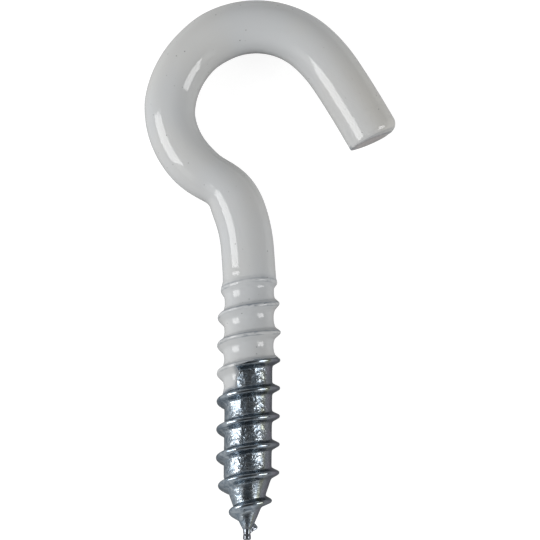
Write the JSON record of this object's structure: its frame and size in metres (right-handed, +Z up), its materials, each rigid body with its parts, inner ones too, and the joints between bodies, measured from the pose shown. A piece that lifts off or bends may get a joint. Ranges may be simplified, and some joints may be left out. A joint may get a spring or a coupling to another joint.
{
  "type": "screw hook",
  "caption": "Wire screw hook: a right-hand wood-screw thread with a tapered point, a side-set neck and an open round hook with a straight cut tail.",
  "frame": {"origin": "under the middle of the part, on the surface that it lies on", "axes": "+Y runs up the shank from the tip of the screw to the round top of the hook, +Z points up from the surface that the hook lies on, and the hook opens towards +X"},
  "size_m": [0.0276, 0.06, 0.0069],
  "materials": {
    "white_coat": "gloss",
    "zinc_plate": "bright, mottled"
  },
  "bodies": {
    "root": {"screw_hook": "white_coat"}
  },
  "joints": []
}
